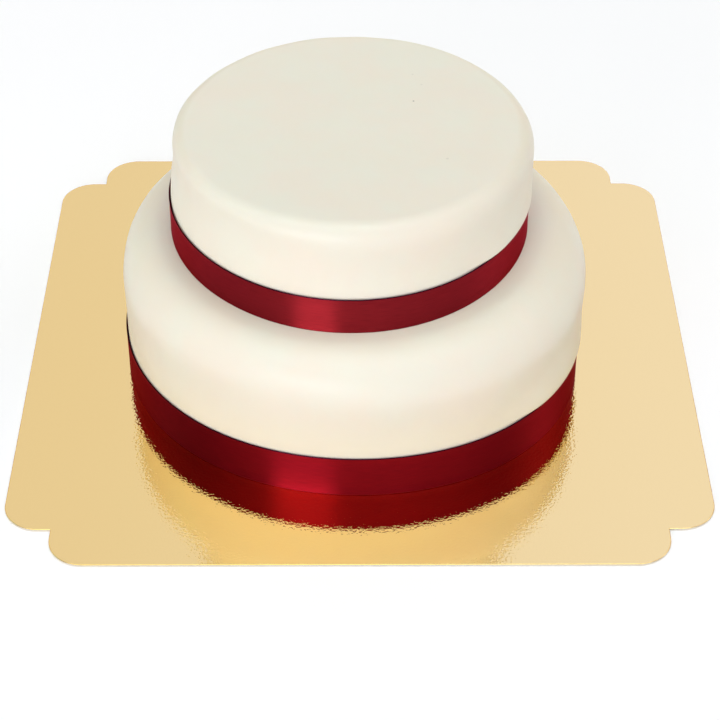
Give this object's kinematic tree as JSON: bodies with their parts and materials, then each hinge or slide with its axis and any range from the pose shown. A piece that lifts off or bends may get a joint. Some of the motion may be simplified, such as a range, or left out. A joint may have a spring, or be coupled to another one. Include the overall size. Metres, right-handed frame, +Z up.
{
  "type": "tiered wedding cake",
  "caption": "Round tiered cake under smooth ivory icing, a satin ribbon round the foot of each tier, on a square gold card board with stepped corners.",
  "frame": {"origin": "under the middle of the board, on the surface that it stands on", "axes": "+Z up, -Y towards the front of the picture, +X to its right, along the board's wider side"},
  "size_m": [0.3684, 0.3614, 0.1499],
  "materials": {
    "ivory_icing": "smooth, soft satin, hand polished",
    "burgundy_satin": "satin weave with a soft bright band",
    "gold_foil": "mirror-bright gold foil with a faint grain, on card"
  },
  "bodies": {
    "root": {"cake_board": "gold_foil", "lower_tier": "ivory_icing", "lower_ribbon": "burgundy_satin", "upper_tier": "ivory_icing", "upper_ribbon": "burgundy_satin"}
  },
  "joints": []
}
